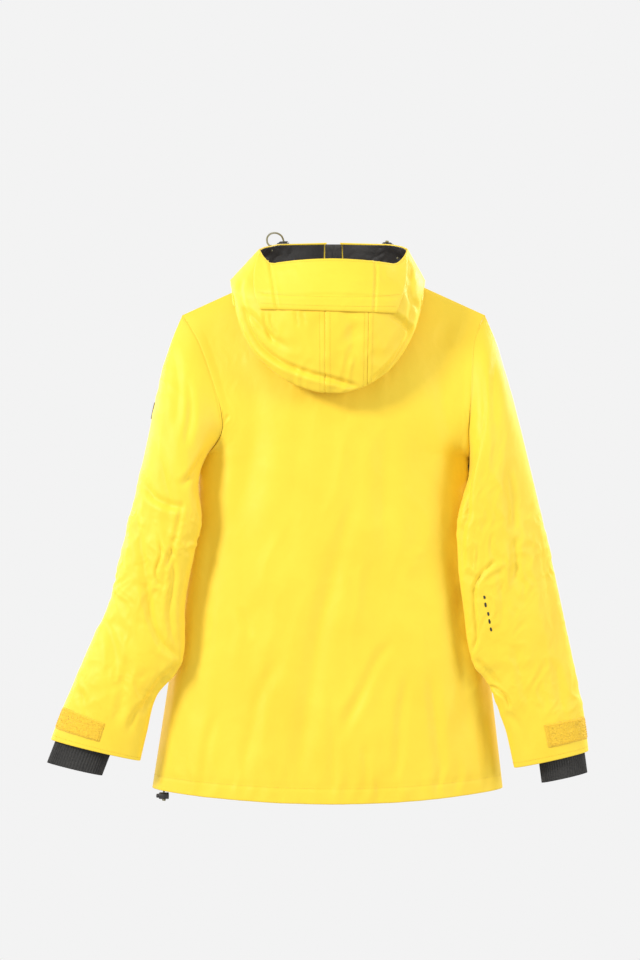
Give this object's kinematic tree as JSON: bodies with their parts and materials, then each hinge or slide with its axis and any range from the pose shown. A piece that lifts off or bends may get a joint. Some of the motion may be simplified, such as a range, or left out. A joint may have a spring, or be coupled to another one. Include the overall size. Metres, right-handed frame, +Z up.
{
  "type": "ski jacket",
  "caption": "Hooded ski jacket on its hanging point, zipped up, sleeves and lowered hood hanging, with zips, cuff tabs, gaiters, powder skirt and cord locks.",
  "frame": {"origin": "centre of the neck opening at the height of the neck seam, where a hanger holds the jacket", "axes": "+Z up, -Y towards the front of the jacket, +X towards the wearer's left"},
  "size_m": [0.7894, 0.185, 0.8396],
  "materials": {
    "shell": "waterproof plain weave with a soft sheen",
    "lining": "smooth taffeta",
    "loop_tape": "fuzzy loop pile",
    "gaiter_knit": "ribbed stretch knit",
    "zip_tape": "coated tape with moulded coil",
    "hardware": "moulded plastic",
    "slider_metal": "painted zinc",
    "pull": "moulded rubbery pull",
    "cord": "braided elastic cord",
    "webbing": "woven tape",
    "spring": "spring wire"
  },
  "bodies": {
    "jacket": {"back_panel": "shell", "left_front_panel": "shell", "right_front_panel": "shell", "back_lining": "lining", "left_front_lining": "lining", "right_front_lining": "lining", "left_collar": "shell", "right_collar": "shell", "collar_lining": "lining", "hang_loop": "webbing", "front_zip_left": "zip_tape", "front_zip_right": "zip_tape", "storm_flap": "shell", "left_pocket_zip": "zip_tape", "right_pocket_zip": "zip_tape", "left_pit_zip": "zip_tape", "right_pit_zip": "zip_tape", "powder_skirt": "lining", "skirt_snaps": "hardware", "hem_facing": "lining", "hem_drawcord": "cord", "left_hood_cord": "cord", "right_hood_cord": "cord", "left_hood_lock": "hardware", "left_hood_spring": "spring", "right_hood_lock": "hardware", "right_hood_spring": "spring", "hem_lock": "hardware", "hem_spring": "spring"},
    "left_sleeve": {"left_sleeve_back": "shell", "left_sleeve_front": "shell", "left_sleeve_lining": "lining", "left_gaiter": "gaiter_knit", "left_cuff_patch": "loop_tape", "arm_badge": "webbing"},
    "right_sleeve": {"right_sleeve_back": "shell", "right_sleeve_front": "shell", "right_sleeve_lining": "lining", "right_gaiter": "gaiter_knit", "right_cuff_patch": "loop_tape"},
    "hood": {"hood_center_panel": "shell", "hood_left_panel": "shell", "hood_right_panel": "shell", "hood_brim": "shell", "hood_lining": "lining"},
    "left_cuff_tab": {"left_cuff_tab": "shell"},
    "right_cuff_tab": {"right_cuff_tab": "shell"},
    "front_zip_slider": {"front_zip_slider": "slider_metal"},
    "front_zip_pull": {"front_zip_pull": "pull"},
    "left_pocket_slider": {"left_pocket_slider": "slider_metal"},
    "left_pocket_pull": {"left_pocket_pull": "pull"},
    "right_pocket_slider": {"right_pocket_slider": "slider_metal"},
    "right_pocket_pull": {"right_pocket_pull": "pull"},
    "left_pit_slider": {"left_pit_slider": "slider_metal"},
    "left_pit_pull": {"left_pit_pull": "pull"},
    "right_pit_slider": {"right_pit_slider": "slider_metal"},
    "right_pit_pull": {"right_pit_pull": "pull"},
    "left_hood_button": {"left_hood_button": "hardware"},
    "right_hood_button": {"right_hood_button": "hardware"},
    "hem_button": {"hem_button": "hardware"}
  },
  "joints": [
    {"name": "left_sleeve_lift", "type": "hinge", "parent": "jacket", "child": "left_sleeve", "pos_m": [0.223, 0, -0.062], "axis": [0, -1, 0], "range_deg": [0, 45]},
    {"name": "right_sleeve_lift", "type": "hinge", "parent": "jacket", "child": "right_sleeve", "pos_m": [-0.223, 0, -0.062], "axis": [0, 1, 0], "range_deg": [0, 45]},
    {"name": "hood_lift", "type": "hinge", "parent": "jacket", "child": "hood", "pos_m": [0, 0, 0.04], "axis": [1, 0, 0], "range_deg": [0, 50]},
    {"name": "left_cuff_tab_peel", "type": "hinge", "parent": "left_sleeve", "child": "left_cuff_tab", "pos_m": [0.30984, 0.01887, -0.67902], "axis": [0.2752, -0.0124, -0.9613], "range_deg": [0, 100]},
    {"name": "right_cuff_tab_peel", "type": "hinge", "parent": "right_sleeve", "child": "right_cuff_tab", "pos_m": [-0.28414, 0.02113, -0.68032], "axis": [0.2034, 0.032, 0.9786], "range_deg": [0, 100]},
    {"name": "front_zip", "type": "slide", "parent": "jacket", "child": "front_zip_slider", "axis": [0, 0, -1], "range_m": [0, 0.78]},
    {"name": "front_zip_pull_swing", "type": "hinge", "parent": "front_zip_slider", "child": "front_zip_pull", "pos_m": [0, -0.06615, 0.038], "axis": [-1, 0, 0], "range_deg": [0, 150]},
    {"name": "left_pocket_zip", "type": "slide", "parent": "jacket", "child": "left_pocket_slider", "axis": [0, 0, -1], "range_m": [0, 0.152]},
    {"name": "left_pocket_pull_swing", "type": "hinge", "parent": "left_pocket_slider", "child": "left_pocket_pull", "pos_m": [0.12091, -0.06689, -0.479], "axis": [-0.9903, -0.1392, 0], "range_deg": [0, 150]},
    {"name": "right_pocket_zip", "type": "slide", "parent": "jacket", "child": "right_pocket_slider", "axis": [0, 0, -1], "range_m": [0, 0.152]},
    {"name": "right_pocket_pull_swing", "type": "hinge", "parent": "right_pocket_slider", "child": "right_pocket_pull", "pos_m": [-0.12091, -0.06689, -0.479], "axis": [-0.9903, 0.1392, 0], "range_deg": [0, 150]},
    {"name": "left_pit_zip", "type": "slide", "parent": "jacket", "child": "left_pit_slider", "axis": [0.1063, 0, -0.9943], "range_m": [0, 0.112]},
    {"name": "left_pit_pull_swing", "type": "hinge", "parent": "left_pit_slider", "child": "left_pit_pull", "pos_m": [0.20316, -0.03094, -0.30039], "axis": [-0.5984, -0.7986, -0.064], "range_deg": [0, 150]},
    {"name": "right_pit_zip", "type": "slide", "parent": "jacket", "child": "right_pit_slider", "axis": [-0.1063, 0, -0.9943], "range_m": [0, 0.112]},
    {"name": "right_pit_pull_swing", "type": "hinge", "parent": "right_pit_slider", "child": "right_pit_pull", "pos_m": [-0.20316, -0.03094, -0.30039], "axis": [-0.5984, 0.7986, 0.064], "range_deg": [0, 150]},
    {"name": "left_hood_button_press", "type": "slide", "parent": "jacket", "child": "left_hood_button", "axis": [-0.866, 0.5, 0], "range_m": [0, 0.0025], "stiffness_N_per_m": 400, "springref_m": -0.001, "deforming": ["left_hood_spring"]},
    {"name": "right_hood_button_press", "type": "slide", "parent": "jacket", "child": "right_hood_button", "axis": [0.848, 0.5299, 0], "range_m": [0, 0.0025], "stiffness_N_per_m": 400, "springref_m": -0.001, "deforming": ["right_hood_spring"]},
    {"name": "hem_button_press", "type": "slide", "parent": "jacket", "child": "hem_button", "axis": [-1, 0, 0], "range_m": [0, 0.0025], "stiffness_N_per_m": 400, "springref_m": -0.001, "deforming": ["hem_spring"]}
  ]
}
